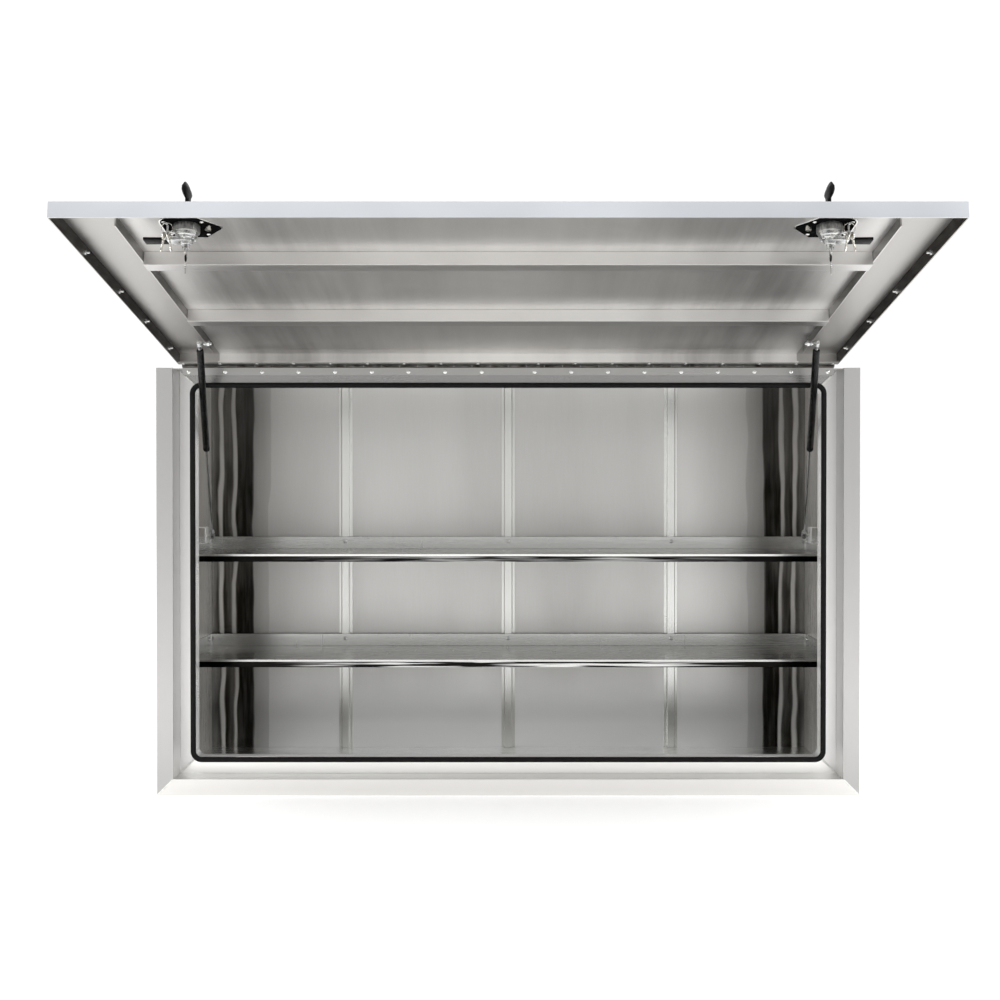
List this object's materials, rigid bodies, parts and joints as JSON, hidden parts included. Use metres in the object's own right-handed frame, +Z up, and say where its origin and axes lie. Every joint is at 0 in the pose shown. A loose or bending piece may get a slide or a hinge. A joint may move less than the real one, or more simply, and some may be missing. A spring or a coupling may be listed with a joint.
{
  "type": "truck tool box",
  "caption": "Lift-up door truck tool box in bright sheet aluminium, with folding T-handle locks, gas struts, a bulb seal, shelves and hat-section back stiffeners.",
  "frame": {"origin": "centre of the base, on the face that rests on the tray or chassis brackets", "axes": "+X to the right seen from the front, along the longest side; front and door face -Y; +Z up"},
  "size_m": [1.5, 1.3808, 1.1565],
  "materials": {
    "sheet": "bright mill finish sheet, 2.5 mm, folded and welded",
    "bright_frame": "bright mill finish, brushed along its length",
    "weld": "as-welded bead",
    "seal": "black EPDM bulb seal",
    "zinc": "zinc plated",
    "rivet": "domed blind rivet heads",
    "strut_tube": "black satin paint",
    "rod": "hard chromed, polished",
    "black_metal": "black powder coat",
    "black_plastic": "black moulded nylon",
    "key": "nickel plated"
  },
  "bodies": {
    "box": {"side_panel_left": "sheet", "side_panel_right": "sheet", "back_panel": "sheet", "roof_panel": "sheet", "floor_panel": "sheet", "front_frame_left": "bright_frame", "front_frame_right": "bright_frame", "front_frame_bottom": "bright_frame", "front_header": "bright_frame", "opening_lip": "bright_frame", "corner_welds": "weld", "door_seal": "seal", "hinge_leaf_body": "bright_frame", "hinge_pin": "zinc", "body_hinge_rivets": "rivet", "back_stiffener_left": "bright_frame", "back_stiffener_centre": "bright_frame", "back_stiffener_right": "bright_frame", "upper_shelf": "sheet", "lower_shelf": "sheet", "shelf_screws": "zinc", "strut_bracket_left": "zinc", "strut_bracket_right": "zinc"},
    "door": {"door_skin": "sheet", "hinge_leaf_door": "bright_frame", "door_hinge_rivets": "rivet", "door_web_left": "bright_frame", "door_web_right": "bright_frame", "door_cross_front": "bright_frame", "door_cross_rear": "bright_frame", "door_side_screws": "zinc", "door_stud_left": "zinc", "door_stud_right": "zinc", "lock_dish_left": "black_plastic", "lock_dish_right": "black_plastic", "lock_backplate_left": "black_metal", "lock_backplate_right": "black_metal", "lock_rivets": "rivet"},
    "strut_rod_left": {"strut_rod_left": "rod", "strut_foot_left": "zinc"},
    "strut_rod_right": {"strut_rod_right": "rod", "strut_foot_right": "zinc"},
    "strut_tube_left": {"strut_tube_left": "strut_tube", "strut_head_left": "zinc"},
    "strut_tube_right": {"strut_tube_right": "strut_tube", "strut_head_right": "zinc"},
    "lock_shaft_left": {"lock_shaft_left": "zinc", "lock_tongue_left": "black_metal"},
    "lock_shaft_right": {"lock_shaft_right": "zinc", "lock_tongue_right": "black_metal"},
    "lock_handle_left": {"lock_handle_left": "black_metal"},
    "lock_handle_right": {"lock_handle_right": "black_metal"},
    "lock_cylinder_left": {"lock_cylinder_left": "key"},
    "lock_cylinder_right": {"lock_cylinder_right": "key"},
    "key_ring_left": {"key_ring_left": "key"},
    "key_ring_right": {"key_ring_right": "key"},
    "spare_key_left": {"spare_key_left": "key"},
    "spare_key_right": {"spare_key_right": "key"}
  },
  "joints": [
    {"name": "door_hinge", "type": "hinge", "parent": "box", "child": "door", "pos_m": [0, -0.2386, 0.92], "axis": [1, 0, 0], "range_deg": [0, 100], "stiffness_Nm_per_rad": 30, "springref_deg": -126.05},
    {"name": "strut_swing_left", "type": "hinge", "parent": "box", "child": "strut_rod_left", "pos_m": [-0.7115, 0.107, 0.543], "axis": [0.8842, 0.3758, 0.2775], "range_deg": [0, 7.55]},
    {"name": "strut_slide_left", "type": "slide", "parent": "strut_rod_left", "child": "strut_tube_left", "axis": [-0.1207, 0.7576, -0.6415], "range_m": [0, 0.20832]},
    {"name": "lock_turn_left", "type": "hinge", "parent": "door", "child": "lock_shaft_left", "pos_m": [-0.516, -1.01421, 1.0592], "axis": [0, 0.1736, 0.9848], "range_deg": [0, 90]},
    {"name": "handle_fold_left", "type": "hinge", "parent": "lock_shaft_left", "child": "lock_handle_left", "pos_m": [-0.516, -1.00813, 1.09367], "axis": [0, 0.9848, -0.1736], "range_deg": [0, 90]},
    {"name": "key_turn_left", "type": "hinge", "parent": "door", "child": "lock_cylinder_left", "pos_m": [-0.482, -1.0097, 1.0848], "axis": [0, 0.1736, 0.9848], "range_deg": [0, 90]},
    {"name": "key_ring_swing_left", "type": "hinge", "parent": "lock_shaft_left", "child": "key_ring_left", "pos_m": [-0.542, -1.03526, 1.07804], "axis": [0, -0.9848, 0.1736], "range_deg": [-20, 20]},
    {"name": "spare_key_swing_left", "type": "hinge", "parent": "lock_shaft_left", "child": "spare_key_left", "pos_m": [-0.516, -1.01682, 1.04443], "axis": [0, -0.9848, 0.1736], "range_deg": [-30, 30]},
    {"name": "strut_swing_right", "type": "hinge", "parent": "box", "child": "strut_rod_right", "pos_m": [0.7115, 0.107, 0.543], "axis": [0.8842, -0.3758, -0.2775], "range_deg": [0, 7.55]},
    {"name": "strut_slide_right", "type": "slide", "parent": "strut_rod_right", "child": "strut_tube_right", "axis": [0.1207, 0.7576, -0.6415], "range_m": [0, 0.20832]},
    {"name": "lock_turn_right", "type": "hinge", "parent": "door", "child": "lock_shaft_right", "pos_m": [0.516, -1.01421, 1.0592], "axis": [0, -0.1736, -0.9848], "range_deg": [0, 90]},
    {"name": "handle_fold_right", "type": "hinge", "parent": "lock_shaft_right", "child": "lock_handle_right", "pos_m": [0.516, -1.00813, 1.09367], "axis": [0, -0.9848, 0.1736], "range_deg": [0, 90]},
    {"name": "key_turn_right", "type": "hinge", "parent": "door", "child": "lock_cylinder_right", "pos_m": [0.482, -1.0097, 1.0848], "axis": [0, 0.1736, 0.9848], "range_deg": [0, 90]},
    {"name": "key_ring_swing_right", "type": "hinge", "parent": "lock_shaft_right", "child": "key_ring_right", "pos_m": [0.542, -1.03526, 1.07804], "axis": [0, -0.9848, 0.1736], "range_deg": [-20, 20]},
    {"name": "spare_key_swing_right", "type": "hinge", "parent": "lock_shaft_right", "child": "spare_key_right", "pos_m": [0.516, -1.01682, 1.04443], "axis": [0, -0.9848, 0.1736], "range_deg": [-30, 30]}
  ],
  "couplings": [
    {"joint": "strut_swing_left", "follows": "door_hinge", "ratio": 0.075481},
    {"joint": "strut_slide_left", "follows": "door_hinge", "m_per_rad": 0.11936},
    {"joint": "strut_swing_right", "follows": "door_hinge", "ratio": 0.075481},
    {"joint": "strut_slide_right", "follows": "door_hinge", "m_per_rad": 0.11936}
  ]
}
